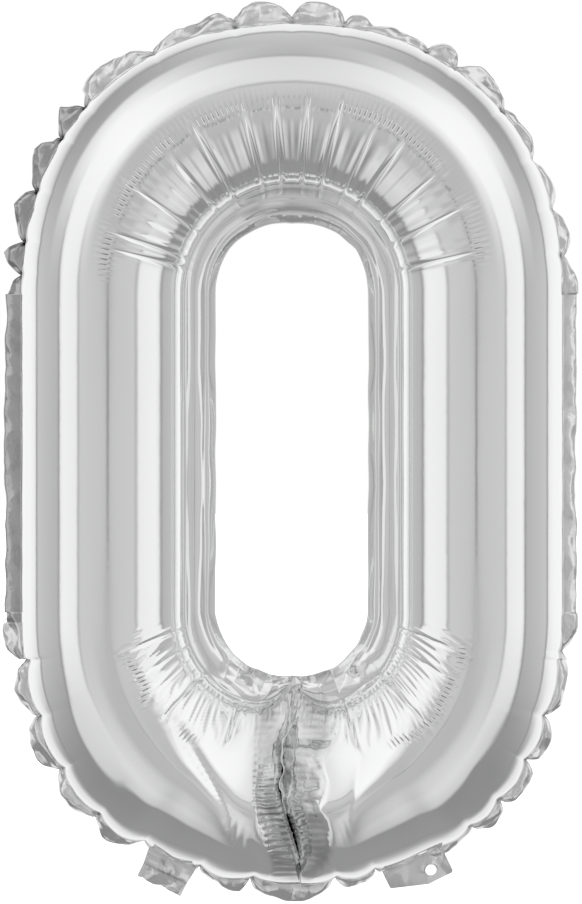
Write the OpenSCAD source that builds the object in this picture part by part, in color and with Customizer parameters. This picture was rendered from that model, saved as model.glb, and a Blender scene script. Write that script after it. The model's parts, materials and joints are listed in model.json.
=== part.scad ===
// Foil number balloon, digit 0, blown up with air.
// Two foil sheets are fused along an outer weld, an inner weld round the hole and one
// short radial weld, which turns the ring into a bent tube with two pillow ends.
// X runs across the digit, Y through its depth with the front at -Y, and Z up the digit.
// The origin is below the middle of the digit, level with its lowest edge.

/* [Inflated tube] */
// Diameter of the inflated tube, from weld to weld
tube_d = 68; // [60:1:90]
// Radius of the tube's centreline round both ends of the digit
bend_r = 77; // [64:1:100]
// Length of the straight sides
side_l = 130; // [60:1:220]
// Thickness of one foil sheet
film_t = 0.5; // [0.3:0.05:0.8]
// How much blunter than the tube's own radius its two pillow ends are
nose_extra = 4; // [2:0.5:8]

/* [Fused seams] */
// Thickness of the two fused plies
seam_t = 0.5; // [0.4:0.05:0.8]
// Width of the flange outside the outer weld
outer_flange_w = 7; // [4:0.5:12]
// Width of the flange round the hole
inner_flange_w = 11; // [4:0.5:16]
// Width of the radial weld between the tube's two ends
closing_weld_w = 3; // [2:0.5:8]

/* [Hang tab] */
// Angle of the tab round the lower bend, to the right of straight down
tab_angle = 26; // [20:1:60]
// Width of the tab along the seam
tab_w = 27; // [16:1:36]
// How far the tab's outer edge stands beyond the flange
tab_out = 6; // [3:0.5:10]
// Width of the seam strip left between the weld and the tab's crease
tab_land = 1; // [0.5:0.1:2]
// Diameter of the hang hole
hang_hole_d = 4.5; // [3:0.1:6]
// Distance of the hang hole from the tab's outer edge
hang_hole_edge = 5; // [4:0.1:7]
// Offset of the hang hole along the seam from the tab's middle
hang_hole_shift = 5; // [-8:0.5:8]

/* [Fill neck and valve] */
// Angle of the fill neck round the lower bend, to the left of straight down
neck_angle = 26; // [20:1:60]
// Width of the fill neck along the seam
neck_w = 21; // [16:0.5:30]
// Length of the free tail outside the flange
tail_l = 6; // [4:0.5:14]
// Width of each side weld of the tail
tail_weld_w = 1.5; // [1:0.1:3]
// Width of the valve tongue inside the tube
valve_w = 18; // [12:0.5:24]
// Length of the valve tongue inside the tube
valve_l = 50; // [20:1:52]
// Width of each side weld of the valve tongue
valve_weld_w = 1.5; // [1:0.1:3]
// Width of the printed release strip between the valve plies
release_w = 12; // [6:0.5:14]
// Length of the printed release strip
release_l = 30; // [10:1:48]
// Thickness of the release strip, and the slit that it keeps open
slit_t = 0.1; // [0.05:0.01:0.2]

/* [Clearances] */
// Gap across a crease between a fold's bead and the edge that it turns on
crease_gap = 0.3; // [0.2:0.05:0.6]
// Gap at each side of the hang tab
tab_side_gap = 0.4; // [0.3:0.1:1]
// Distance of the valve's crease inside the foil at the weld
valve_inset = 0.75; // [0.75:0.05:2]

/* [Hidden] */
$fn = 180;

tube_r = tube_d / 2;
weld_r = bend_r + tube_r;
hole_r = bend_r - tube_r - inner_flange_w;
cut_r = weld_r + outer_flange_w;
low_z = cut_r;
high_z = low_z + side_l;
// the foil's two faces at the outer and at the inner weld
foil_out_r = weld_r - film_t;
foil_in_r = bend_r - tube_r + film_t;
nose_r = tube_r + nose_extra;
nose_x = closing_weld_w / 2 + nose_r;
// a fold's edge is a bead as thick as the seam, centred on its crease
bead_r = seam_t / 2;
tab_edge_r = weld_r + tab_land;
tab_crease_r = tab_edge_r + crease_gap + bead_r;
tab_end_r = cut_r + tab_out;
tail_crease_r = cut_r + crease_gap + bead_r;
valve_crease_r = foil_out_r - valve_inset - bead_r;
// long enough to reach right through or past the whole balloon
over = 2 * cut_r + side_l;

// a flat outline carried round the digit: its X is the distance from a bend's centre,
// and its Y is the depth, positive towards the front
module round_the_digit() {
    translate([0, 0, high_z]) rotate([90, 0, 0]) rotate_extrude(angle = 180) children();
    translate([0, 0, low_z]) rotate([90, 0, 0]) rotate([0, 0, 180])
        rotate_extrude(angle = 180) children();
    for (side = [0, 1])
        mirror([side, 0, 0]) translate([0, 0, low_z])
            linear_extrude(side_l) mirror([0, 1]) children();
}

// the flat band from one radius to another, between two depths
module band(from_r, to_r, from_y, to_y) {
    round_the_digit() translate([from_r, from_y]) square([to_r - from_r, to_y - from_y]);
}

// half of a disc, on the front or the back side of the seam
module half_section(r, face) {
    intersection() {
        translate([bend_r, 0]) circle(r);
        translate([0, face > 0 ? seam_t / 2 : -seam_t / 2 - over]) square([over, over]);
    }
}

// what the two pillow ends leave free between them, for a foil face set in by inset
module crevice(inset) {
    difference() {
        translate([-nose_x, -over / 2, -over + low_z]) cube([2 * nose_x, over, over]);
        for (side = [-1, 1])
            translate([side * nose_x, 0, -over + low_z - 1])
                cylinder(r = nose_r - inset, h = over + 2);
    }
}

// one side of the tube as a solid, with its face set in by inset
module half_tube(face, inset) {
    difference() {
        round_the_digit() half_section(tube_r - inset, face);
        crevice(inset);
    }
}

module film(face) {
    difference() {
        half_tube(face, 0);
        half_tube(face, film_t);
    }
}

// the place of a fold on the lower bend: local -Z points straight out of the bend
module on_lower_bend(angle) {
    translate([0, 0, low_z]) rotate([0, -angle, 0]) children();
}

// a flat piece along the seam, between two distances from the bend's centre
module plate(w, from_r, to_r, from_y, to_y) {
    translate([-w / 2, from_y, -to_r]) cube([w, to_y - from_y, to_r - from_r]);
}

// the same piece, ending in a bead on its crease, at the end that is nearer the weld
module creased_plate(w, crease_r, end_r, from_y, to_y) {
    plate(w, min(crease_r, end_r), max(crease_r, end_r), from_y, to_y);
    intersection() {
        translate([-w / 2, 0, -crease_r]) rotate([0, 90, 0]) cylinder(r = bead_r, h = w);
        plate(w, crease_r - bead_r, crease_r + bead_r, from_y, to_y);
    }
}

// a pair of narrow welds along the two edges of a flat channel
module side_welds(w, weld_w, from_r, to_r) {
    for (side = [-1, 1])
        translate([side * (w - weld_w) / 2, 0, 0])
            plate(weld_w, from_r, to_r, -slit_t / 2, slit_t / 2);
}

module front_film() {
    color("silver") film(1);
}

module back_film() {
    color("silver") film(-1);
}

module outer_seam() {
    color("gainsboro") difference() {
        band(foil_out_r, cut_r, -seam_t / 2, seam_t / 2);
        on_lower_bend(tab_angle)
            plate(tab_w + 2 * tab_side_gap, tab_edge_r, tab_end_r, -seam_t, seam_t);
        on_lower_bend(-neck_angle)
            plate(neck_w, bend_r, cut_r + outer_flange_w, -seam_t, seam_t);
    }
}

module inner_seam() {
    color("gainsboro") band(hole_r, foil_in_r, -seam_t / 2, seam_t / 2);
}

module closing_seam() {
    half_w = closing_weld_w / 2 + film_t;
    color("darkgray") translate([0, 0, low_z]) rotate([90, 0, 0])
        linear_extrude(seam_t, center = true) intersection() {
            translate([-half_w, -foil_out_r]) square([2 * half_w, foil_out_r]);
            difference() {
                circle(foil_out_r);
                circle(foil_in_r);
            }
        }
}

module hang_tab() {
    color("silver") on_lower_bend(tab_angle) difference() {
        intersection() {
            creased_plate(tab_w, tab_crease_r, tab_end_r, -seam_t / 2, seam_t / 2);
            rotate([90, 0, 0]) cylinder(r = tab_end_r, h = tab_w, center = true);
        }
        translate([hang_hole_shift, 0, -(tab_end_r - hang_hole_edge)]) rotate([90, 0, 0])
            cylinder(d = hang_hole_d, h = tab_w, center = true);
    }
}

module neck_ply(from_y, to_y) {
    intersection() {
        band(foil_out_r, cut_r, -to_y, -from_y);
        on_lower_bend(-neck_angle) plate(neck_w, bend_r, cut_r + outer_flange_w, from_y, to_y);
    }
}

module neck_front_ply() {
    color("lightgray") neck_ply(-seam_t / 2, -slit_t / 2);
}

module neck_back_ply() {
    color("lightgray") neck_ply(slit_t / 2, seam_t / 2);
}

module tail_ply(from_y, to_y) {
    on_lower_bend(-neck_angle)
        creased_plate(neck_w, tail_crease_r, tail_crease_r + tail_l, from_y, to_y);
}

module tail_front_ply() {
    color("silver") tail_ply(-seam_t / 2, -slit_t / 2);
}

module tail_back_ply() {
    color("silver") tail_ply(slit_t / 2, seam_t / 2);
}

module tail_side_welds() {
    color("gray") on_lower_bend(-neck_angle)
        side_welds(neck_w, tail_weld_w, tail_crease_r, tail_crease_r + tail_l);
}

module valve_ply(from_y, to_y) {
    on_lower_bend(-neck_angle)
        creased_plate(valve_w, valve_crease_r, valve_crease_r - valve_l, from_y, to_y);
}

module valve_front_ply() {
    color("whitesmoke") valve_ply(-seam_t / 2, -slit_t / 2);
}

module valve_back_ply() {
    color("whitesmoke") valve_ply(slit_t / 2, seam_t / 2);
}

module valve_side_welds() {
    color("lightblue") on_lower_bend(-neck_angle)
        side_welds(valve_w, valve_weld_w, valve_crease_r - valve_l, valve_crease_r);
}

module valve_release_strip() {
    color("lightsteelblue") on_lower_bend(-neck_angle)
        plate(release_w, valve_crease_r - release_l, valve_crease_r, -slit_t / 2, slit_t / 2);
}

front_film();
back_film();
outer_seam();
inner_seam();
closing_seam();
hang_tab();
neck_front_ply();
neck_back_ply();
tail_front_ply();
tail_back_ply();
tail_side_welds();
valve_front_ply();
valve_back_ply();
valve_side_welds();
valve_release_strip();
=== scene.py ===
import json
import math

import bpy
import numpy as np
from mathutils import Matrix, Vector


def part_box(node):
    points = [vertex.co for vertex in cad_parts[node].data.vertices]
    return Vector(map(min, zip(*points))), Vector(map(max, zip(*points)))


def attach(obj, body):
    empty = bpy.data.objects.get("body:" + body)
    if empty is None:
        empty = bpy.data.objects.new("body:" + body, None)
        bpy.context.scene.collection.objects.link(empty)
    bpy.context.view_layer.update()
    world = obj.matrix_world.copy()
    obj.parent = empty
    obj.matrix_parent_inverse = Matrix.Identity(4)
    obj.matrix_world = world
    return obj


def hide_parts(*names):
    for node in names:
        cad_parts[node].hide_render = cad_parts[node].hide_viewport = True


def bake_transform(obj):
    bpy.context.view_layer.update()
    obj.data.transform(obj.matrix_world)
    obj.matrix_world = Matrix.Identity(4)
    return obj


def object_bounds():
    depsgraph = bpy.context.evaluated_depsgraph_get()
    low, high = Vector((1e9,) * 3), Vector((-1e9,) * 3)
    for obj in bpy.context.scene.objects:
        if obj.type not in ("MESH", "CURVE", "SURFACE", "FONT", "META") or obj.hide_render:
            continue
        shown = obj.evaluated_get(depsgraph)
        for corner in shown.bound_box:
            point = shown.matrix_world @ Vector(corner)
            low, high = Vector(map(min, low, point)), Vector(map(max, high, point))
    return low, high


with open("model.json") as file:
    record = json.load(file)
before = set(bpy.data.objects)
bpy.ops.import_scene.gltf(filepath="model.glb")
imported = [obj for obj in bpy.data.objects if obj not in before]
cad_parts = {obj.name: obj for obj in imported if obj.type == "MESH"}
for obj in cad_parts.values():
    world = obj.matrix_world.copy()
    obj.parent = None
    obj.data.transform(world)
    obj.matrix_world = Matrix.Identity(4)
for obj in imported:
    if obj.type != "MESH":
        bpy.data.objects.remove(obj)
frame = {"record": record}
cad_box = [list(corner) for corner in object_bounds()]

# ---------------------------------------------------------------------------------------
# Camera: level with the middle of the digit and square to it, far enough back that the
# two sides of the tube look alike, and framed so that the digit nearly fills the view.
camera_distance = 1.6
view_height = 0.3685
camera_data = bpy.data.cameras.new("camera")
camera_data.sensor_width = 36.0
camera_data.lens = camera_data.sensor_width * camera_distance / view_height
camera = bpy.data.objects.new("camera", camera_data)
camera.location = (-0.0004, -camera_distance, cad_box[1][2] / 2 + 0.0006)
camera.rotation_euler = (math.pi / 2, 0, 0)
bpy.context.scene.collection.objects.link(camera)
bpy.context.scene.camera = camera
bpy.context.scene.view_settings.view_transform = "Standard"
bpy.context.scene.view_settings.look = "None"


# ---------------------------------------------------------------------------------------
# Studio: a white room with soft boxes at both sides and above, and a darker space round
# the camera. Foil shows nothing but its surroundings, so these bands are its tones.
def add_node(tree, kind, **values):
    """A new node in a tree, with its plain settings given by name."""
    node = tree.nodes.new(kind)
    for name, value in values.items():
        setattr(node, name, value)
    return node


def math_node(tree, operation, first, second=None):
    """The output of a maths node, whose inputs are sockets or numbers."""
    node = add_node(tree, "ShaderNodeMath", operation=operation)
    for slot, value in enumerate((first, second)):
        if value is None:
            continue
        if isinstance(value, (int, float)):
            node.inputs[slot].default_value = value
        else:
            tree.links.new(value, node.inputs[slot])
    return node.outputs[0]


def mixed(tree, share, first, second, blend_type="MIX"):
    """The output of a colour mixer: its share is a socket, its colours sockets or greys."""
    node = add_node(tree, "ShaderNodeMixRGB", blend_type=blend_type)
    tree.links.new(share, node.inputs["Fac"])
    for label, colour in (("Color1", first), ("Color2", second)):
        if isinstance(colour, bpy.types.NodeSocket):
            tree.links.new(colour, node.inputs[label])
        else:
            node.inputs[label].default_value = np.append(np.broadcast_to(colour, 3), 1.0).tolist()
    return node.outputs[0]


def grey_bands(tree, position, bands):
    """A ramp of greys along 0 to 180 degrees, from pairs of an angle and a display grey from
    0 to 255. A grey is made linear by the display's curve."""
    node = add_node(tree, "ShaderNodeValToRGB")
    ramp = node.color_ramp
    while len(ramp.elements) > 1:
        ramp.elements.remove(ramp.elements[0])
    for count, (angle, level) in enumerate(bands):
        element = ramp.elements[0] if count == 0 else ramp.elements.new(angle / 180)
        element.position = angle / 180
        tone = ((level / 255 + 0.055) / 1.055) ** 2.4
        element.color = (tone, tone, tone, 1)
    tree.links.new(position, node.inputs[0])
    return node.outputs[0]


world = bpy.data.worlds.new("studio")
bpy.context.scene.world = world
world.use_nodes = True
room = world.node_tree
room.nodes.clear()
direction = add_node(room, "ShaderNodeTexCoord").outputs["Generated"]
split = add_node(room, "ShaderNodeSeparateXYZ")
room.links.new(direction, split.inputs[0])
right, back, up = split.outputs
from_camera = math_node(room, "ARCCOSINE", math_node(room, "MULTIPLY", back, -1.0))
flat_square = math_node(room, "ADD", math_node(room, "MULTIPLY", right, right), 1e-5)
up_square = math_node(room, "MULTIPLY", up, up)
steepness = math_node(room, "DIVIDE", up_square, math_node(room, "ADD", flat_square, up_square))
above = math_node(room, "MULTIPLY", steepness, math_node(room, "GREATER_THAN", up, 0.0))
below = math_node(room, "SUBTRACT", steepness, above)
# the bands stand a little wider above the digit than beside it
stretch = math_node(room, "ADD", 1.0, math_node(room, "MULTIPLY", above, 0.15))
along_bands = math_node(room, "DIVIDE", math_node(room, "DIVIDE", from_camera, stretch), math.pi)
beside = grey_bands(room, along_bands, [
    (0, 196), (8, 202), (34, 206), (37, 178), (40, 240), (57, 246), (60, 236), (62, 150), (65, 186),
    (98, 202), (101, 150), (104, 240), (116, 250), (146, 252), (153, 208), (180, 192)])
overhead = grey_bands(room, along_bands, [
    (0, 186), (10, 192), (18, 202), (26, 206), (28, 176), (31, 226), (57, 222), (60, 174), (63, 186),
    (98, 204), (101, 160), (105, 240), (146, 252), (153, 208), (180, 192)])
underneath = grey_bands(room, along_bands, [
    (0, 192), (12, 188), (22, 174), (33, 161), (40, 150), (118, 150), (130, 235), (146, 250), (153, 208),
    (180, 192)])
upper_corner = grey_bands(room, along_bands, [
    (0, 186), (24, 190), (30, 232), (38, 255), (62, 252), (76, 232), (80, 168), (104, 160), (111, 215),
    (130, 250), (146, 252), (153, 208), (180, 192)])
lower_corner = grey_bands(room, along_bands, [
    (0, 186), (16, 188), (24, 212), (44, 224), (58, 208), (62, 142), (108, 148), (120, 230), (146, 250),
    (153, 208), (180, 192)])
slanting = math_node(room, "MULTIPLY", 4.0, math_node(
    room, "MULTIPLY", steepness, math_node(room, "SUBTRACT", 1.0, steepness)))
slanting_up = math_node(room, "MULTIPLY", slanting, math_node(room, "GREATER_THAN", up, 0.0))
slanting_down = math_node(room, "SUBTRACT", slanting, slanting_up)
surroundings = beside
for share, bands in ((above, overhead), (below, underneath), (slanting_up, upper_corner),
                     (slanting_down, lower_corner)):
    surroundings = mixed(room, share, surroundings, bands)
# the upright stand of the camera: a narrow dark line straight in front
stand_half_width, stand_middle, stand_half_height, stand_grey = 0.03, 0.011, 0.036, 0.33
from_middle = math_node(room, "ABSOLUTE", math_node(room, "SUBTRACT", up, stand_middle))
narrow = math_node(room, "LESS_THAN", math_node(room, "ABSOLUTE", right), stand_half_width)
level = math_node(room, "LESS_THAN", from_middle, stand_half_height)
facing = math_node(room, "LESS_THAN", back, 0.0)
stand = math_node(room, "MULTIPLY", narrow, math_node(room, "MULTIPLY", level, facing))
surroundings = mixed(room, stand, surroundings, stand_grey)
# behind the balloon the room is plain white
seen = add_node(room, "ShaderNodeLightPath").outputs["Is Camera Ray"]
backdrop = add_node(room, "ShaderNodeBackground")
room.links.new(mixed(room, seen, surroundings, 1.0), backdrop.inputs["Color"])
room.links.new(backdrop.outputs[0], add_node(room, "ShaderNodeOutputWorld").inputs["Surface"])

# an even, wide light from above for the floor alone: it isn't mirrored in the foil
lamp = bpy.data.lights.new("overhead_lamp", "SUN")
lamp.energy = 3.6
lamp.angle = math.radians(50)
lamp_object = bpy.data.objects.new("overhead_lamp", lamp)
lamp_object.rotation_euler = (math.radians(12), math.radians(-8), 0)
lamp_object.visible_glossy = False
bpy.context.scene.collection.objects.link(lamp_object)

floor_half, floor_drop = 12.0, 0.03
floor_corners = [(-floor_half, -floor_half, -floor_drop), (floor_half, -floor_half, -floor_drop),
                 (floor_half, floor_half, -floor_drop), (-floor_half, floor_half, -floor_drop)]
floor_mesh = bpy.data.meshes.new("floor")
floor_mesh.from_pydata(floor_corners, [], [(0, 1, 2, 3)])
floor = bpy.data.objects.new("floor", floor_mesh)
floor.visible_glossy = False
bpy.context.scene.collection.objects.link(floor)
floor_paint = bpy.data.materials.new("floor_paint")
floor_paint.use_nodes = True
floor_shader = floor_paint.node_tree.nodes["Principled BSDF"]
floor_shader.inputs["Base Color"].default_value = (0.93, 0.93, 0.93, 1)
floor_shader.inputs["Roughness"].default_value = 0.9
floor_mesh.materials.append(floor_paint)

# ---------------------------------------------------------------------------------------
# Front and back sheets: metallised film about 0.04 mm thick, cut flat and blown into a
# tube. The film can't stretch, so the inside of each bend has more of it than there is
# room for, and it gathers into long creases with fine ripples between them.
MM = 0.001
film_low, film_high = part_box("front_film")
hole_low, hole_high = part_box("inner_seam")
seam_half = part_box("outer_seam")[1][1]
weld_r = film_high[0]
tube_r = -film_low[1]
bend_r = weld_r - tube_r
hole_weld_r = bend_r - tube_r
low_z = hole_low[2] + hole_high[0]
high_z = hole_high[2] - hole_high[0]
quarter = bend_r * math.pi / 2
side = high_z - low_z
# distances along the tube's centreline from the closing weld: the left bend, the left
# side, the top, the right side and the right bend; and a stretch past either end
stops = np.cumsum([-quarter, quarter, quarter, side, 2 * quarter, side, quarter, quarter])
stop_turns = np.array([-0.5, 0.0, 0.5, 0.5, 1.5, 1.5, 2.0, 2.5]) * math.pi
stop_heights = np.array([low_z, low_z, low_z, high_z, high_z, low_z, low_z, low_z])
tube_length = stops[6]


def turn_at(along):
    """Angle of the outward direction, clockwise from straight down as seen from the front."""
    return np.interp(along, stops, stop_turns)


def height_at(along):
    """Height of the middle of the bend, or of the point beside a straight side."""
    return np.interp(along, stops, stop_heights)


def from_down(turn):
    """Angle away from straight down, the same to the left and to the right."""
    return np.abs((turn + math.pi) % (2 * math.pi) - math.pi)


def outer_weld_at(turn):
    """Radius of the outer weld: the bends are squarer than a circle, the lower one most, but
    the tab and the tail hold it in where they leave it."""
    down = from_down(turn)
    swell = np.where(down < math.pi / 2, 0.044, 0.026) * np.sin(2 * turn) ** 2
    held = 1 - 0.62 * np.exp(-((down - math.radians(26)) / math.radians(8.5)) ** 4)
    return weld_r * (1 + swell * held)


def inner_weld_at(turn):
    """Radius of the inner weld: the two pillow ends push it up into the hole."""
    down = from_down(turn)
    lift = 4 * MM * np.clip(np.cos(down), 0, 1) ** 2 + 9.5 * MM * np.exp(-(down / 0.25) ** 2)
    return hole_weld_r - lift


def spread(seed, count, low, high):
    """A fixed row of random numbers between two limits."""
    return np.random.default_rng(seed).uniform(low, high, count)


def drift(position, seed, steps, low=-1.0, high=1.0):
    """A smooth random curve: random levels at even steps, joined by eased stretches."""
    levels = spread(seed, steps + 2, low, high)
    cell = np.clip(position, 0, 0.999999) * steps
    index = cell.astype(int)
    part = cell - index
    eased = part * part * (3 - 2 * part)
    return levels[index] * (1 - eased) + levels[index + 1] * eased


# the long creases of the top bend, and of both sides of the lower bend
top_creases = np.radians([103, 108, 123, 138, 149, 165, 175, 185, 195, 207, 217, 231, 244, 258])
low_creases = np.radians([30, 56, 73, 83, 277, 287, 304, 330])


def crease_field(turn, radius, inward, creases, lean, seed, limit=1.0):
    """Height of the film over its smooth shape near the long creases: each is a valley that
    falls off with the distance from its line, with a low crown on either side. A crease
    starts at about the crown, leans by an angle as it goes outwards, and ends at a limit."""
    field = np.zeros(np.broadcast(turn, inward).shape)
    depths = spread(seed, len(creases), 0.40, 0.75)
    widths = spread(seed + 1, len(creases), 0.40, 0.65)
    starts = spread(seed + 2, len(creases), -0.02, 0.06)
    for line, depth, width, start in zip(creases, depths, widths, starts):
        leaning = line + lean * np.where(line < math.pi, -1, 1) * (1 - inward)
        gap = np.abs(turn - leaning) * radius
        reach = np.clip((inward - 0.5 + start) / 0.22, 0, 1) ** 0.8 \
            * np.clip((limit - radius) / (3 * MM), 0, 1)
        field -= depth * MM * np.exp(-gap / (width * MM)) * reach
        field += 0.25 * depth * MM * np.exp(-((gap - 1.6 * MM) / (0.9 * MM)) ** 2) * reach
    return field


def gather_edge(turn, portion, seed):
    """Radius at which the gathers of the lower bend start: close to the hole by the closing
    weld, out at the crown beside the straight sides."""
    edge = np.interp(from_down(turn), [0.15, 0.35, 0.58, 0.8, 1.2], [45, 50, 60, 66, 68]) * MM
    return edge + np.where(turn < math.pi, 0, 3 * MM) + 2.5 * MM * drift(portion, seed + 39, 120)


def film_relief(along, turn, radius, section, seed):
    """Height of the film over its smooth shape, in metres. Inward runs from 0 at the outer
    weld over 0.5 at the crown to 1 at the inner weld."""
    inward = (1 - section) / 2
    portion = along / tube_length
    on_top = np.clip((turn - math.radians(95)) / math.radians(12), 0, 1) \
        * np.clip((math.radians(265) - turn) / math.radians(12), 0, 1)
    down = from_down(turn)
    at_bottom = np.clip((math.radians(87) - down) / math.radians(6), 0, 1)
    relief = crease_field(turn, radius, inward, top_creases, 0.0, seed)
    edge = gather_edge(turn, portion, seed)
    relief += crease_field(turn, radius, inward, low_creases, math.radians(14), seed + 5, edge + 2 * MM)
    # fine ticks along the crown of the top bend
    tick = np.sin(turn * 222 + 3 * drift(portion, seed + 10, 60)) \
        * drift(portion, seed + 11, 90, 0.15, 1.0)
    crown = np.exp(-((inward - 0.5 - 0.012 * drift(portion, seed + 12, 50)) / 0.05) ** 2)
    relief += 0.075 * MM * tick * crown * on_top
    # soft ripples from the crown in to the weld, which wander and fade in and out
    for count, strength in ((46, 0.16), (87, 0.09), (131, 0.04)):
        wander = 2.5 * drift(portion, seed + 20 + count, 40) \
            + 5 * inward * drift(portion, seed + 21 + count, 25)
        fade = drift(portion, seed + 22 + count, 70, 0.0, 1.0)
        band = np.clip((inward - 0.5) / 0.2, 0, 1) * np.clip((1.02 - inward) / 0.1, 0, 1)
        relief += strength * MM * np.sin(turn * count + wander) * fade * band * on_top
    # deeper gathers inside the lower bend, which end in round puckers on a line that comes
    # closer to the hole towards the closing weld
    for count, strength in ((148, 0.17), (103, 0.12), (61, 0.08), (217, 0.07)):
        wander = 2.0 * drift(portion, seed + 40 + count, 60) \
            - count * 0.25 * (edge - radius) / tube_r * np.sign(math.pi - turn)
        band = np.clip((edge - radius) / (4 * MM), 0, 1) ** 0.6 * np.clip((1.02 - inward) / 0.12, 0, 1)
        relief += strength * MM * np.sin(turn * count + wander) * band * at_bottom \
            * drift(portion, seed + 42 + count, 50, 0.35, 1.0)
    return relief


# where the outer weld is pinched between two lobes of the flange
pinches = np.radians([9, 20, 33, 44, 56, 68, 80, 94, 101, 112, 124, 132, 150, 168, 180, 191, 209,
                      216, 229, 241, 252, 262, 278, 292, 302, 312, 320, 342, 351])


def pinch_gap(turn):
    """Distance along the outer weld to the nearest pinch."""
    gap = np.full(np.shape(turn), 1.0)
    for pinch in pinches:
        gap = np.minimum(gap, np.abs(turn - pinch) * weld_r)
    return gap


def folded(across, along, seed, sizes, strength):
    """Crumpled film: flat facets between sharp folds, as a sum of zigzag waves that run in
    random directions. Sizes are half the lengths of the waves, two waves of each size, and
    strength is the height of the first."""
    random = np.random.default_rng(seed)
    height = np.zeros(np.broadcast(across, along).shape)
    for size in sizes:
        for _ in range(2):
            angle, phase = random.uniform(0, math.pi), random.uniform(0, 2)
            sideways = along * math.sin(angle) - across * math.cos(angle)
            bend = 0.35 * size * np.sin(sideways / size * 2 + phase)
            wave = (across * math.sin(angle) + along * math.cos(angle) + bend) / size + phase
            height += strength * size / sizes[0] * (np.abs(wave % 2 - 1) - 0.5)
    return height


# the weld between the two pillow ends wanders from side to side on its way down
seam_heights = np.array([12, 18, 27, 37, 43, 60, 70, 82, 90]) * MM
seam_shifts = np.array([3.4, 3.7, 1.2, -2.0, -3.7, -3.7, -2.5, -0.4, 0.0]) * MM


def drawn_in(turn):
    """How far a pinch draws in the outer weld: widely along the lower bend, where the edge
    between two pinches stands out like a petal."""
    gap = pinch_gap(turn)
    low = from_down(turn) < 1.4
    return MM * np.where(low, 2.6 * np.exp(-gap / (4.5 * MM)) + 0.8 * np.exp(-gap / (0.9 * MM)),
                         0.9 * np.exp(-gap / (2.2 * MM)))


# how far from the weld the left pillow end folds over, and the right one at its heights, and
# where the right one is pinched, as pairs of a height and a share of the tube's depth
left_end = 12.5 * MM
right_heights = np.array([8, 14, 18, 24, 30, 36, 41, 45, 52, 60, 64, 69, 74, 80, 88]) * MM
right_ends = np.array([3, 7, 11, 15, 16, 15, 12, 14.5, 16, 15.5, 15.5, 19, 19, 17.5, 11]) * MM
end_pinches = ((0.0409, 0.12), (0.0564, 0.03), (0.0662, 0.035))


def seam_shift(z):
    """Sideways shift of the closing weld at a height."""
    return np.interp(z, seam_heights, seam_shifts)


def end_width(x, z):
    """Width of a pillow end's roll, the left one where x is below 0."""
    return np.where(x < 0, left_end, np.interp(z, right_heights, right_ends))


def end_share(x, z):
    """Share of the tube's depth left at a distance from the closing weld: it turns over in a
    fold, slopes down ever more steeply, and drops where the two ends press on one another.
    The left end is gathered into fine pleats, the right one into four puffs."""
    away = np.abs(x)
    left = x < 0
    width = end_width(x, z) * (1 + 0.04 * np.sin(z * 170 + 1) + 0.03 * np.sin(z * 410))
    part = np.clip(1 - away / width, 0, 1)
    drop = width * (0.72 * part + 0.24 * part ** 2)
    pit = 1.5 * MM + 0.8 * MM * np.exp(-((z - 0.048) / 0.007) ** 2) + 0.6 * MM * np.sin(z * 300)
    drop = drop + pit * np.exp(-away / (1.3 * MM))
    inside = np.clip(part * 6, 0, 1)
    pleats = 0.55 * np.sin(2 * math.pi * z / (2.7 * MM) + 260 * away + 1.5 * np.sin(z * 500)) \
        * np.exp(-((z - 0.038) / 0.018) ** 4)
    pleats += 0.20 * np.sin(2 * math.pi * z / (4.9 * MM) + 500 * away + 2) \
        * np.exp(-((z - 0.072) / 0.014) ** 2)
    wrinkles = 0.16 * np.sin(2 * math.pi * z / (3.7 * MM) + 700 * away) \
        + 0.08 * np.sin(2 * math.pi * z / (2.1 * MM) - 900 * away + 1) + 0.12 * np.sin(z * 620 + 380 * away)
    puffs = np.zeros(np.broadcast(x, z).shape)
    for pinch, strength in end_pinches:
        puffs = puffs + strength * np.exp(-np.abs(z - pinch - 0.08 * away) / (1.5 * MM))
    crinkles = folded(away, z, 41, (3.4 * MM, 2.2 * MM, 1.5 * MM), 0.30) * np.where(left, 0.6, 1.0)
    drop = drop - (np.where(left, pleats, wrinkles) + crinkles) * MM * inside
    return np.where(away >= width, 2.0, 1.0 - drop / tube_r - np.where(left, 0, puffs * inside))


def crushed_and_shaded(x, z):
    """How crushed the film is, from 0 to 1: all of it between the folds of the two ends. The tube's material
    also darkens its colour by this share, as painted shade between the folds.
    """
    folds = np.clip((1 - np.abs(x) / end_width(x, z)) * 7, 0, 1) * np.clip((z - 9 * MM) / (5 * MM), 0, 1)
    return folds * np.clip((90 * MM - z) / (6 * MM), 0, 1) * (0.8 + 0.2 * np.sin(z * 230 + x * 300))


def valley(x, z, path, depth, width):
    """A soft fold along a bent line of points (x and z), which fades at both ends."""
    path = np.array(path) * MM
    best = np.full(np.broadcast(x, z).shape, 1.0)
    fade = np.zeros(best.shape)
    lengths = np.concatenate([[0], np.cumsum(np.hypot(*np.diff(path, axis=0).T))])
    for start, end, done in zip(path[:-1], path[1:], lengths):
        step = end - start
        part = np.clip(((x - start[0]) * step[0] + (z - start[1]) * step[1]) / (step @ step), 0, 1)
        gap = np.hypot(x - start[0] - part * step[0], z - start[1] - part * step[1])
        travelled = (done + part * math.hypot(*step)) / lengths[-1]
        nearer = gap < best
        fade = np.where(nearer, np.sin(math.pi * np.clip(travelled, 0.02, 0.98)) ** 0.6, fade)
        best = np.minimum(best, gap)
    return -depth * MM * fade * np.exp(-best / (width * MM))


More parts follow.
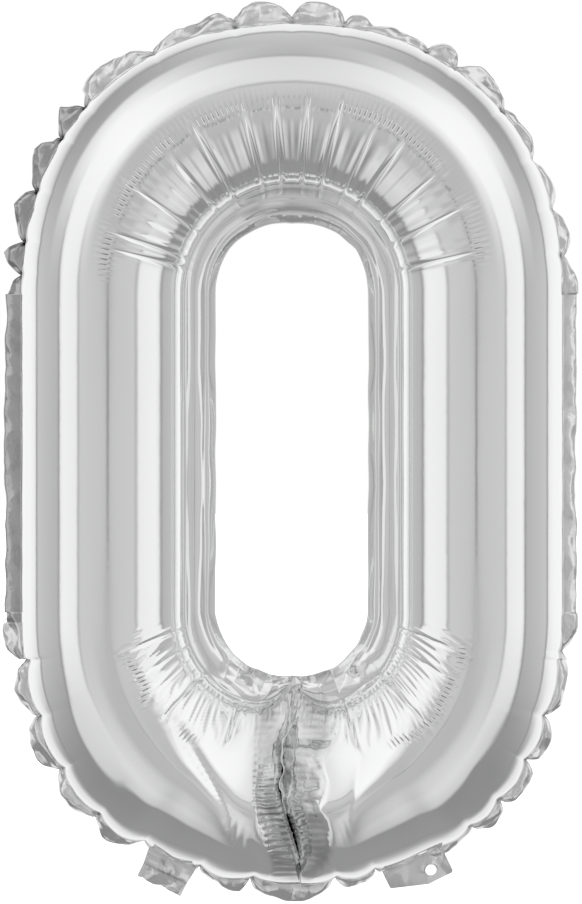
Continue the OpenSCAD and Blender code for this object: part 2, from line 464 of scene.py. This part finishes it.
# soft folds of the lower bend, where the flat sheet turns the corner into the closing weld:
# each has its line (x and z), its depth and its width, in millimetres
soft_folds = [
    ([(-47, 76), (-28, 46), (-22, 32), (-11, 12)], 2.1, 3.0),
    ([(-88, 88), (-66, 44), (-44, 26)], 0.8, 4.0),
    ([(28, 64), (24, 40), (19, 24)], 0.9, 3.0),
    ([(88, 80), (74, 46), (66, 30)], 0.8, 3.4),
]


def sheet_points(along, angle, face, seed):
    """Points of one sheet: round the section from the inner to the outer weld by angle, and
    along the tube's centreline. Face is -1 for the front and 1 for the back. The smooth
    section is raised along its own outward direction by the relief, and its depth is then
    cut down near the closing weld."""
    turn, middle = turn_at(along), height_at(along)
    down = from_down(turn)
    inner, outer = inner_weld_at(turn), outer_weld_at(turn)
    deep = drawn_in(turn)
    half = (outer - inner) / 2
    section = -np.cos(angle)
    # the crown lies a little towards the hole, but outwards near the closing weld; outside it
    # the section is a quarter ellipse, inside it a parabola or, near the weld, almost a cone
    crown = -0.08 + 0.33 * np.exp(-(down / 0.47) ** 2)
    outside = np.sqrt(np.clip(1 - (np.clip(section - crown, 0, 2) / (1 - crown)) ** 2, 0, 1))
    away = np.clip(crown - section, 0, 2)
    round_side = 1 - 1.5 * np.log(np.cosh(away / 1.2))
    cone_side = 1 - 0.62 * 0.16 * np.log(np.cosh(away / 0.16)) - 0.12 * away ** 2
    round_side = round_side - 0.10 * away ** 2 * np.clip((1.45 - down) / 0.25, 0, 1)
    near_weld = np.exp(-(down / 0.66) ** 4)
    shoulder = np.clip(1 - (away / (1 + crown)) ** 18, 0, 1) ** 0.42
    inside = ((1 - near_weld) * round_side + near_weld * cone_side) * shoulder
    bulge = np.where(section > crown, outside, inside)
    radius = (outer + inner) / 2 + half * section - deep * np.exp((section - 1) / 0.08)
    depth = tube_r * bulge
    slope_r, slope_d = np.gradient(radius, axis=1), np.gradient(depth, axis=1)
    length = np.hypot(slope_r, slope_d) + 1e-12
    relief = film_relief(along, turn, radius, section, seed) - 0.35 * deep * np.exp((section - 1) / 0.05)
    x0, z0 = -np.sin(turn) * radius, middle - np.cos(turn) * radius
    for path, strength, width in soft_folds:
        relief = relief + valley(x0, z0, path, strength, width)
    relief = relief * np.clip(np.sin(angle) * 4, 0, 1)
    radius = radius - relief * slope_d / length
    depth = depth + relief * slope_r / length
    x = -np.sin(turn) * radius
    z = middle - np.cos(turn) * radius
    ends = (down < 1.0) & (z < low_z)
    share = np.where(ends, end_share(np.where(turn < math.pi, -1, 1) * np.abs(x), z), 2.0)
    blend = 0.004
    share = np.where(ends, np.minimum(1, share) - blend * np.log1p(np.exp(-np.abs(1 - share) / blend)), 1)
    depth = np.maximum(depth * share, 0.3 * seam_half)
    x = x + np.where(ends, np.exp(-(np.abs(x) / (17 * MM)) ** 2) * seam_shift(z), 0)
    return np.stack([x, face * depth, z], axis=-1)


def dense_rows(count, low, high, places, gain, width):
    """Stations from low to high, closer together near the given places."""
    fine = np.linspace(low, high, 20001)
    weight = np.ones_like(fine)
    for place in places:
        weight += gain * np.exp(-((fine - place) / width) ** 2)
    total = np.concatenate([[0], np.cumsum((weight[1:] + weight[:-1]) / 2)])
    return np.interp(np.linspace(0, total[-1], count), total, fine)


def shell(name, front, back, material, ring=False):
    """A closed skin from a front and a back grid with as many rows as one another: joined at
    both edges of every row and, unless the rows run round in a ring, closed at both ends. It
    is turned so that its faces point outwards, which makes its volume positive."""
    points = np.concatenate([front, back[:, ::-1]], axis=1)
    rows, columns = points.shape[:2]
    index = np.arange(rows * columns).reshape(rows, columns)
    if ring:
        index = np.concatenate([index, index[:1]])
    across = np.roll(index, -1, axis=1)
    quads = np.stack([index[:-1], index[1:], across[1:], across[:-1]], axis=-1).reshape(-1, 4)
    caps = [] if ring else [index[0].tolist(), index[-1, ::-1].tolist()]
    corner = points.reshape(-1, 3)[quads]
    normal = np.cross(corner[:, 1] - corner[:, 0], corner[:, 3] - corner[:, 0])
    if np.sum(normal * (corner[:, 0] - corner.reshape(-1, 3).mean(axis=0))) < 0:
        quads, caps = quads[:, ::-1], [cap[::-1] for cap in caps]
    mesh = bpy.data.meshes.new(name)
    mesh.from_pydata(points.reshape(-1, 3).tolist(), [], quads.tolist() + caps)
    mesh.polygons.foreach_set("use_smooth", np.ones(len(mesh.polygons), dtype=bool))
    mesh.materials.append(material)
    mesh.update()
    piece = bpy.data.objects.new(name, mesh)
    bpy.context.scene.collection.objects.link(piece)
    return piece


def set_marks(piece, marks):
    """Keeps named shares of a piece, one value a point, for its material to read."""
    for label, values in marks.items():
        layer = piece.data.attributes.new(label, "FLOAT", "POINT")
        layer.data.foreach_set("value", values.astype(np.float32).ravel())


def film_finish_group():
    """The finish of thin film, both outputs from 0 to 1: the height of its fine dents, from
    two layers of noise at the given scale, and the smudges that handling leaves on it."""
    group = bpy.data.node_groups.new("film_finish", "ShaderNodeTree")
    group.interface.new_socket("Position", in_out="INPUT", socket_type="NodeSocketVector")
    group.interface.new_socket("Scale", in_out="INPUT", socket_type="NodeSocketFloat")
    group.interface.new_socket("Height", in_out="OUTPUT", socket_type="NodeSocketFloat")
    group.interface.new_socket("Smudge", in_out="OUTPUT", socket_type="NodeSocketFloat")
    given = add_node(group, "NodeGroupInput")
    wide, fine, smudge = (add_node(group, "ShaderNodeTexNoise") for _ in range(3))
    for noise, detail in ((wide, 2), (fine, 4), (smudge, 5)):
        noise.inputs["Detail"].default_value = detail
        group.links.new(given.outputs["Position"], noise.inputs["Vector"])
    for noise, factor in ((wide, 1.0), (fine, 5.0)):
        group.links.new(math_node(group, "MULTIPLY", given.outputs["Scale"], factor), noise.inputs["Scale"])
    smudge.inputs["Scale"].default_value = 22
    height = math_node(group, "ADD", math_node(group, "MULTIPLY", wide.outputs[0], 0.8),
                       math_node(group, "MULTIPLY", fine.outputs[0], 0.2))
    result = add_node(group, "NodeGroupOutput")
    group.links.new(height, result.inputs["Height"])
    group.links.new(smudge.outputs[0], result.inputs["Smudge"])
    return group


film_finish = film_finish_group()


def foil_material(name, tone, roughness, dent_scale, dent_depth, mirror=1.0):
    """Metallised film: a mirror with shallow dents and a gloss and tone that its smudges
    make slightly uneven."""
    material = bpy.data.materials.new(name)
    material.use_nodes = True
    tree = material.node_tree
    shader = tree.nodes["Principled BSDF"]
    shader.inputs["Metallic"].default_value = mirror
    finish = add_node(tree, "ShaderNodeGroup", node_tree=film_finish)
    finish.inputs["Scale"].default_value = dent_scale
    tree.links.new(add_node(tree, "ShaderNodeTexCoord").outputs["Object"], finish.inputs["Position"])
    raise_film(material, finish.outputs["Height"], dent_depth)
    gloss = add_node(tree, "ShaderNodeMapRange")
    gloss.inputs["To Min"].default_value = roughness * 0.7
    gloss.inputs["To Max"].default_value = roughness * 1.4
    tree.links.new(finish.outputs["Smudge"], gloss.inputs["Value"])
    tree.links.new(gloss.outputs[0], shader.inputs["Roughness"])
    smudged = tuple(0.97 * part for part in tone)
    tree.links.new(mixed(tree, finish.outputs["Smudge"], smudged, tone), shader.inputs["Base Color"])
    return material


def raise_film(material, height, depth, invert=False):
    """Adds a height to a material's surface, on top of what its normal has already."""
    tree = material.node_tree
    normal = tree.nodes["Principled BSDF"].inputs["Normal"]
    bump = add_node(tree, "ShaderNodeBump", invert=invert)
    bump.inputs["Strength"].default_value = 1.0
    bump.inputs["Distance"].default_value = depth
    tree.links.new(height, bump.inputs["Height"])
    if normal.is_linked:
        tree.links.new(normal.links[0].from_socket, bump.inputs["Normal"])
    tree.links.new(bump.outputs["Normal"], normal)


def darken(material, share, grey):
    """Multiplies a material's colour by a grey, as much as the share says."""
    tree = material.node_tree
    colour = tree.nodes["Principled BSDF"].inputs["Base Color"]
    tree.links.new(mixed(tree, share, colour.links[0].from_socket, grey, "MULTIPLY"), colour)


def mark(material, label):
    """The output that reads one of a piece's named shares."""
    return add_node(material.node_tree, "ShaderNodeAttribute", attribute_name=label).outputs["Fac"]


tube_foil = foil_material("tube_foil", (0.955, 0.96, 0.958), 0.075, 60, 0.05 * MM)
tube_tree = tube_foil.node_tree
# short ticks across the run of the tube, where the film starts to gather: grooves in the surface, with
# painted shade that darkens the colour in each groove
tick_pitch = 2.1 * MM
tick_wave = math_node(tube_tree, "SINE", math_node(
    tube_tree, "MULTIPLY", mark(tube_foil, "run"), math.pi / tick_pitch))
groove_and_shade = math_node(tube_tree, "MULTIPLY", math_node(
    tube_tree, "POWER", math_node(tube_tree, "ABSOLUTE", tick_wave), 8.0), mark(tube_foil, "tick"))
raise_film(tube_foil, groove_and_shade, 0.3 * MM, invert=True)
# painted shade: the colour is darkened in each tick's groove
darken(tube_foil, groove_and_shade, 0.42)
# level pleats, about 2.7 mm apart, where the film is gathered along the closing weld
pleat_wave = add_node(tube_tree, "ShaderNodeTexWave", bands_direction="Z")
for label, value in (("Scale", 116), ("Distortion", 2.6), ("Detail", 1), ("Detail Scale", 0.8)):
    pleat_wave.inputs[label].default_value = value
tube_tree.links.new(add_node(tube_tree, "ShaderNodeTexCoord").outputs["Object"], pleat_wave.inputs["Vector"])
raise_film(tube_foil, math_node(tube_tree, "MULTIPLY", pleat_wave.outputs["Fac"], mark(tube_foil, "pleat")),
           0.42 * MM)
# painted shade: the colour of the film crushed between the folds of the two pillow ends is darkened
darken(tube_foil, mark(tube_foil, "crush_and_shade"), 0.66)
crease_stations = np.concatenate([[0, tube_length], bend_r * low_creases[:4],
                                  stops[3] + bend_r * (top_creases - math.pi / 2),
                                  stops[5] + bend_r * (low_creases[4:] - 1.5 * math.pi)])
stations = dense_rows(1560, 0, tube_length, crease_stations, 2.5, 3 * MM)
# more columns inside the crown, where the film gathers, than outside it
section_angles = np.interp(np.linspace(0, 1, 52), [0, 0.78, 1], [0, 0.58 * math.pi, math.pi])
lining_columns = np.array([0, 6, 13, 21, 29, 36, 41, 45, 48, 50, 51])


def lining_of(outside, turn):
    """The inside face of a sheet, on fewer columns: behind the deepest valley up to the
    columns beside it or, where the valve needs the room, just behind the outside."""
    depth = np.abs(outside[:, :, 1])
    kept = depth[:, lining_columns]
    between = np.minimum(np.minimum.reduceat(depth, lining_columns[:-1], axis=1), kept[:, 1:])
    lowest = np.concatenate([between[:, :1], np.minimum(between[:, 1:], between[:, :-1]),
                             between[:, -1:]], axis=1)
    by_valve = np.abs(turn - math.radians(26)) < math.radians(13)
    behind = np.where(lining_columns < 45, 1.1, 0.8) * MM
    lining = outside[:, lining_columns].copy()
    lining[:, :, 1] = np.sign(lining[:, :, 1]) * np.where(
        by_valve[:, None], kept - np.minimum(behind, 0.5 * kept), 0.95 * lowest)
    return lining


def sheet_marks(outside, seed):
    """What a sheet's material needs at each point: the run along the tube, and the shares of ticks, which
    are grooved and given painted shade, of crushed film, which is given painted shade, and of pleats."""
    turn = turn_at(stations)[:, None]
    down = from_down(turn)
    portion = stations[:, None] / tube_length
    share = (1 + np.cos(section_angles))[None, :] / 2
    # along the crown of the top bend
    on_top = np.clip((turn - math.radians(93)) / 0.1, 0, 1) * np.clip((math.radians(267) - turn) / 0.1, 0, 1)
    off_crown = share - 0.52 - 0.008 * drift(portion, seed + 60, 90)
    tick = on_top * np.exp(-(off_crown / 0.024) ** 4) \
        * np.clip(2.6 * drift(portion, seed + 61, 75, -0.35, 1.0), 0, 1)
    # where the gathers of the lower bend start, beside the straight sides
    inner, outer = inner_weld_at(turn), outer_weld_at(turn)
    radius = (inner + outer) / 2 + (outer - inner) / 2 * (1 - 2 * share)
    ahead = (gather_edge(turn, portion, seed) - radius) / MM
    at_sides = np.clip((1.42 - down) / 0.05, 0, 1) * np.clip((down - 0.62) / 0.08, 0, 1)
    tick = tick + 0.9 * at_sides * np.exp(-((ahead - 1.2) / 1.5) ** 4) \
        * np.clip(2.6 * drift(portion, seed + 62, 70, -0.25, 1.0), 0, 1)
    x, z = outside[:, :, 0] - seam_shift(outside[:, :, 2]), outside[:, :, 2]
    crush_and_shade = crushed_and_shaded(x, z) * (down < 1.0)
    pleat = crush_and_shade * np.where(x < 0, np.exp(-((z - 0.036) / 0.020) ** 4) + 0.12, 0.20)
    marks = {"run": stations[:, None] + 0 * share, "tick": tick, "crush_and_shade": crush_and_shade, "pleat": pleat}
    return {label: np.concatenate([grid, grid[:, lining_columns][:, ::-1]], axis=1)
            for label, grid in marks.items()}


for node, face, seed in (("front_film", -1, 100), ("back_film", 1, 200)):
    outside = sheet_points(stations[:, None], section_angles[None, :], face, seed)
    sheet = shell(node + "_foil", outside, lining_of(outside, turn_at(stations)), tube_foil)
    set_marks(sheet, sheet_marks(outside, seed))
    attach(sheet, "balloon")
    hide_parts(node)

# ---------------------------------------------------------------------------------------
# Outer flange: the welded rim outside the tube, both films sealed flat. The tube draws it
# in, so that it gathers into lobes between pinches, crumples and curls backwards.
flange_foil = foil_material("flange_foil", (0.83, 0.835, 0.83), 0.13, 220, 0.25 * MM)
# painted shade: the colour is darkened to nearly black where the film is twisted tight between two lobes,
# and darkened all over on the pointed lobes at the upper left
darken(flange_foil, mark(flange_foil, "pinch_shade"), 0.05)
rim = np.linspace(0.0, tube_length, 2400)
rim_turn, rim_middle = turn_at(rim), height_at(rim)
rim_weld = outer_weld_at(rim_turn) - drawn_in(rim_turn)
# width of the rim: narrow at the sides and where the tab and the tail stand in its place
turn_degrees = np.degrees(rim_turn)
rim_width = np.interp(turn_degrees, [0, 12, 16, 36, 40, 60, 85, 90, 94, 132, 140, 150, 158, 165, 192, 197,
                                     205, 211, 225, 232, 245, 255, 270, 290, 300, 318, 322, 346, 352, 360],
                      [6.5, 5, 2.6, 2.6, 5, 5.5, 6.5, 6.5, 8.5, 8.5, 8, 5, 5, 9, 8.5, 3,
                       3, 6.5, 6.5, 3, 2.5, 4, 5.5, 5, 5, 5, 2.6, 2.6, 5.5, 6.5]) * MM
edges = np.concatenate([[pinches[-1] - 2 * math.pi], pinches, [pinches[0] + 2 * math.pi]])
lobe = np.clip(np.searchsorted(edges, rim_turn) - 1, 0, len(edges) - 2)
lobe_part = (rim_turn - edges[lobe]) / (edges[lobe + 1] - edges[lobe])
lobe_height = spread(7, len(edges), 0.75, 1.2)[lobe]
pointed = (turn_degrees > 88) & (turn_degrees < 134)
lobe_lean = spread(8, len(edges), -1.0, 1.0)[lobe]
straight = (rim > stops[2]) & (rim < stops[3]) | (rim > stops[4]) & (rim < stops[5])
# lobes are rounded, but lean to a point at the upper left
peak = np.where(lobe_part < 0.62, lobe_part / 0.62, (1 - lobe_part) / 0.38)
rise = (1 - np.abs(2 * lobe_part - 1) ** 2.6) * lobe_height
rise = np.where(pointed, np.clip(peak, 0, 1) ** 0.8 * 1.1 - 0.25, rise)
rise = np.where(straight, 0.9 + 0.1 * drift(rim / tube_length, 9, 90), 0.35 + 0.65 * rise)
inside_edge = 1.2 * MM
layers = np.linspace(0, 1, 13)
width = np.maximum(rim_width * rise, 0.4 * MM) + inside_edge
out = rim_weld[:, None] - inside_edge + width[:, None] * layers[None, :]
lift = np.clip(layers * 1.6 - 0.25, 0, 1)[None, :]
waves = folded(out, rim[:, None], 31, (11 * MM, 6 * MM, 3.5 * MM), 2.6 * MM) * lift
waves += (1.7 * MM * lobe_lean * (lobe_part - 0.5) * 2)[:, None] * lift
waves += (1.6 * MM * np.exp(-pinch_gap(rim_turn) / (1.6 * MM)))[:, None] * np.sin(9 * layers)[None, :] * lift
calm = np.where(straight, 0.25, 1.0)[:, None]
back_curl = 0.0022 * (layers ** 3)[None, :] * np.where(straight, 0.6, 1.0)[:, None]
out = out + 0.9 * MM * folded(out, rim[:, None], 33, (6 * MM, 3 * MM), 1.0) * lift * calm
rim_x = -np.sin(rim_turn)[:, None] * out
rim_z = rim_middle[:, None] - np.cos(rim_turn)[:, None] * out
rim_y = waves * calm + back_curl
wall = 0.15 * MM
outer_flange = shell("outer_flange_foil", np.stack([rim_x, rim_y - wall, rim_z], axis=-1),
                     np.stack([rim_x, rim_y + wall, rim_z], axis=-1), flange_foil)
# painted shade: darkest at each pinch and towards the weld, plus a share over the whole of the pointed lobes
# at the upper left
pinch_shade = np.exp(-(pinch_gap(rim_turn) / (1.5 * MM)) ** 2)[:, None] * np.clip(1.3 - 0.9 * layers, 0, 1) \
    * np.where(pointed, 1.0, 0.45)[:, None] + np.where(pointed, 0.42, 0.0)[:, None]
set_marks(outer_flange, {"pinch_shade": np.concatenate([pinch_shade, pinch_shade[:, ::-1]], axis=1)})
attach(outer_flange, "balloon")
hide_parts("outer_seam")

# ---------------------------------------------------------------------------------------
# Inner flange: the welded rim round the hole. Here the tube leaves it too much length, so
# it stands in long waves that follow the rim, and its free edge curls over.
inner_rim = np.linspace(0.0, tube_length, 2000)
inner_turn, inner_middle = turn_at(inner_rim), height_at(inner_rim)
inner_down = from_down(inner_turn)
inner_edge = inner_weld_at(inner_turn) + 0.6 * MM
hole_edge = np.interp(np.degrees(inner_down), [0, 5, 12, 30, 42, 62, 90, 125, 180],
                      [25.2, 25.6, 26.0, 26.7, 28.0, 29.0, 31.0, 31.5, 28.6]) * MM
hole_edge = hole_edge + 0.25 * MM * drift(inner_rim / tube_length, 51, 60)
ring_layers = np.linspace(0, 1, 22)
share = ring_layers[None, :]
ring_r = inner_edge[:, None] + (hole_edge - inner_edge)[:, None] * share
# across the rim: a ridge, a groove, and the curl of the free edge
ring_y = 1.7 * np.sin(math.pi * np.clip(share / 0.60, 0, 1)) ** 0.9 \
    - 1.1 * np.sin(math.pi * np.clip((share - 0.57) / 0.26, 0, 1)) \
    + 3.4 * np.clip((share - 0.80) / 0.2, 0, 1) ** 1.5
shape = 0.75 + 0.25 * drift(inner_rim / tube_length, 52, 30)[:, None]
crumpled = np.clip((math.radians(66) - inner_down) / math.radians(20), 0, 1)[:, None]
ring_y = MM * ring_y * shape * (1 - 0.4 * crumpled)
ring_y = ring_y + folded(ring_r, 0.45 * inner_rim[:, None], 53, (13 * MM, 8 * MM), 2.6 * MM) \
    * crumpled * np.clip(share * 3, 0, 1)
ring_y = ring_y + 0.12 * MM * folded(ring_r, inner_rim[:, None], 54, (26 * MM, 15 * MM), 1.0) * share
ring_x = -np.sin(inner_turn)[:, None] * ring_r
ring_z = inner_middle[:, None] - np.cos(inner_turn)[:, None] * ring_r
rim_foil = foil_material("rim_foil", (0.90, 0.905, 0.90), 0.09, 90, 0.08 * MM)
inner_flange = shell("inner_flange_foil", np.stack([ring_x, -ring_y - wall, ring_z], axis=-1),
                     np.stack([ring_x, -ring_y + wall, ring_z], axis=-1), rim_foil)
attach(inner_flange, "balloon")
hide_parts("inner_seam")

# ---------------------------------------------------------------------------------------
# Closing weld: the strip that seals the two pillow ends to one another, crushed between
# them, with a pointed scrap of film that stands up at the edge of the hole.
seam_rows = np.linspace(8 * MM, 92 * MM, 260)
seam_across = np.linspace(-1, 1, 15)
seam_reach = np.interp(seam_rows / MM, [8, 12, 30, 50, 65, 75, 84, 88, 92],
                       [2, 8, 19, 22, 19, 12, 7, 5, 2]) * MM
seam_y = seam_across[None, :] * seam_reach[:, None]
seam_x = seam_shift(seam_rows)[:, None] + folded(seam_y, seam_rows[:, None], 61, (7 * MM, 4 * MM), 1.3 * MM)
# the scrap at its upper end turns to the right and forwards
tip = np.clip((seam_rows[:, None] - 84 * MM) / (5 * MM), 0, 1)
seam_x = seam_x + tip * (seam_across[None, :] * seam_reach[:, None] * 0.8 + 1.5 * MM)
seam_y = seam_y * (1 - 0.75 * tip) - 6 * MM * tip
seam_z = seam_rows[:, None] + 0.5 * MM * folded(seam_y, seam_rows[:, None], 62, (3 * MM,), 1.0)
closing = shell("closing_weld_foil", np.stack([seam_x - wall, seam_y, seam_z], axis=-1),
                np.stack([seam_x + wall, seam_y, seam_z], axis=-1), flange_foil)
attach(closing, "balloon")
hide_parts("closing_seam")

# ---------------------------------------------------------------------------------------
# Hanging tab: a wider piece of the rim at the lower right with a punched hole, which folds
# on the line where it leaves the weld.
def hinge_angle(name):
    """Angle round the lower bend at which a named hinge lies, from straight down to the right."""
    axis = [joint["axis"] for joint in frame["record"]["behaviour"]["joints"] if joint["name"] == name][0]
    return math.atan2(axis[2], axis[0])


def on_rim(tangent, radial, thickness, angle):
    """Points from their place along the rim, distance from the bend's centre, and depth."""
    x = math.cos(angle) * tangent + math.sin(angle) * radial
    z = low_z + math.sin(angle) * tangent - math.cos(angle) * radial
    return np.stack([x, thickness, z], axis=-1)


tab_angle = hinge_angle("tab_fold")
hole = [mount for mount in frame["record"]["mounts"] if mount["name"] == "hang_hole"][0]
hole_r, hole_x, hole_z = hole["dims"]["r_mm"] * MM, hole["pos_m"][0], hole["pos_m"][2] - low_z
hole_tangent = math.cos(tab_angle) * hole_x + math.sin(tab_angle) * hole_z
hole_radial = math.sin(tab_angle) * hole_x - math.cos(tab_angle) * hole_z
rays = np.linspace(0, 2 * math.pi, 240, endpoint=False)
ray_t, ray_r = np.cos(rays), np.sin(rays)
# the tab's outline as straight cuts, each a direction along and a direction out of the rim,
# and its distance from the hole in millimetres
cuts = [(1, 0, 8.0), (-1, 0, 18.2), (0, -1, 8.3), (0, 1, 4.9), (-0.33, 0.944, 5.7), (0.8, 0.6, 8.8)]
limit = np.full(rays.shape, 1.0)
for cut_t, cut_r, distance in cuts:
    facing_cut = ray_t * cut_t + ray_r * cut_r
    meets = distance * MM / np.maximum(facing_cut, 1e-6)
    limit = np.where(facing_cut > 1e-6, np.minimum(limit, meets), limit)
tab_share = np.linspace(0, 1, 40)[None, :] ** 0.9
reach = hole_r + (limit[:, None] - hole_r) * tab_share
tab_t, tab_r = hole_tangent + ray_t[:, None] * reach, hole_radial + ray_r[:, None] * reach
tab_y = folded(tab_t, tab_r, 71, (15 * MM, 9 * MM), 0.9 * MM) - 0.5 * MM
# a crease beside the hole, the fold line left almost flat, the free edge turned back, and
# the hole's inner edge pulled forwards
tab_y += 1.4 * MM * np.exp(-((tab_t - 10 * MM) / (1.6 * MM)) ** 2) \
    * np.clip((118 * MM - tab_r) / (4 * MM), 0, 1)
tab_y = tab_y * np.clip((tab_r - 110 * MM) / (2 * MM), 0.15, 1)
tab_y = tab_y + 0.22 * np.clip(tab_r - 113 * MM, 0, 1)
tab_y -= 1.3 * MM * np.exp(-(reach - hole_r) / (1.3 * MM)) * np.clip(-ray_r[:, None] + 0.2, 0, 1)
tab_foil = foil_material("tab_foil", (0.68, 0.685, 0.68), 0.12, 140, 0.10 * MM, mirror=0.80)
tab = shell("hanging_tab_foil", on_rim(tab_t, tab_r, tab_y - wall, tab_angle),
            on_rim(tab_t, tab_r, tab_y + wall, tab_angle), tab_foil, ring=True)
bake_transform(tab)
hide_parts("hang_tab")

# ---------------------------------------------------------------------------------------
# Filling neck and tail: the two films run on through the rim as a flat mouth for the
# straw, plain over the rim and crumpled beyond it, with a weld down either side.
neck_angle, neck_half = hinge_angle("tail_fold"), 10.5 * MM
ply_half_wall, weld_half_wall = 0.08 * MM, 0.45 * MM
neck_top, neck_end, tail_end, weld_width = 110.4 * MM, 118.3 * MM, 123.8 * MM, 1.5 * MM


def mouth_part(name, node, from_t, to_t, from_r, to_r, face, half_wall):
    """A piece of the mouth as a rectangle of the common crumpled surface: one of its films,
    or a weld at one side. Face sets it in front of the middle or behind it."""
    t = np.linspace(from_t, to_t, 8 + int((to_t - from_t) / (0.25 * MM)))[:, None]
    r = np.linspace(from_r, to_r, 8 + int((to_r - from_r) / (0.2 * MM)))[None, :]
    away = np.clip((r - 112.5 * MM) / (3 * MM), 0, 1)
    y = folded(t, r, 81, (14 * MM, 8 * MM, 5 * MM), 1.7 * MM) * away
    y = y + 2.2 * MM * np.clip((r - 113 * MM) / (7 * MM), 0, 1) ** 2 * np.sin(t / neck_half * 2.2 + 0.9)
    y = y + face * (0.16 + 0.18 * away) * MM
    # the free edge is cut unevenly, and the mouth narrows a little towards it
    uneven = 0.5 * MM * folded(t, 0 * t, 83, (5 * MM, 2 * MM), 1.0)
    r = r + uneven * np.clip((r - tail_end) / (3 * MM) + 1, 0, 1)
    t = t * (1 - 0.08 * np.clip((r - 112 * MM) / (7 * MM), 0, 1))
    part = shell(name, on_rim(t, r, y - half_wall, neck_angle), on_rim(t, r, y + half_wall, neck_angle),
                 tab_foil)
    if node.startswith("tail"):
        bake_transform(part)
    else:
        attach(part, "balloon")
    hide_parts(node)


for place, face in (("front", -1), ("back", 1)):
    mouth_part(f"neck_{place}_ply_foil", f"neck_{place}_ply", -neck_half, neck_half, neck_top, neck_end,
               face, ply_half_wall)
    mouth_part(f"tail_{place}_ply_foil", f"tail_{place}_ply", -neck_half, neck_half, neck_end - 1.0 * MM,
               tail_end, face, ply_half_wall)
for place, side_t in (("left", -neck_half - 0.1 * MM), ("right", neck_half - weld_width + 0.1 * MM)):
    mouth_part(f"tail_{place}_weld_foil", "tail_side_welds", side_t, side_t + weld_width,
               neck_end + 0.4 * MM, tail_end - 0.2 * MM, 0, weld_half_wall)

# ---------------------------------------------------------------------------------------
# Valve: a flat sleeve of clear film welded inside the neck, which the air inside presses
# shut, with a printed strip of release ink that keeps its mouth from sealing.
def speckled(name, scale, detail, first, second, roughness):
    """A plain material whose colour wanders between two through a noise."""
    material = bpy.data.materials.new(name)
    material.use_nodes = True
    tree = material.node_tree
    shader = tree.nodes["Principled BSDF"]
    shader.inputs["Roughness"].default_value = roughness
    noise = add_node(tree, "ShaderNodeTexNoise")
    noise.inputs["Scale"].default_value = scale
    noise.inputs["Detail"].default_value = detail
    tree.links.new(add_node(tree, "ShaderNodeTexCoord").outputs["Object"], noise.inputs["Vector"])
    tree.links.new(mixed(tree, noise.outputs[0], first, second), shader.inputs["Base Color"])
    return material


valve_film = speckled("clear_valve_film", 90, 4, (0.74, 0.77, 0.78), (0.88, 0.90, 0.90), 0.22)
valve_film.node_tree.nodes["Principled BSDF"].inputs["Alpha"].default_value = 0.55
release_ink = speckled("release_ink", 900, 2, (0.20, 0.30, 0.42), (0.34, 0.45, 0.56), 0.7)
for node in ("valve_front_ply", "valve_back_ply", "valve_side_welds"):
    bpy.data.objects[node].material_slots[0].material = valve_film
bpy.data.objects["valve_release_strip"].material_slots[0].material = release_ink
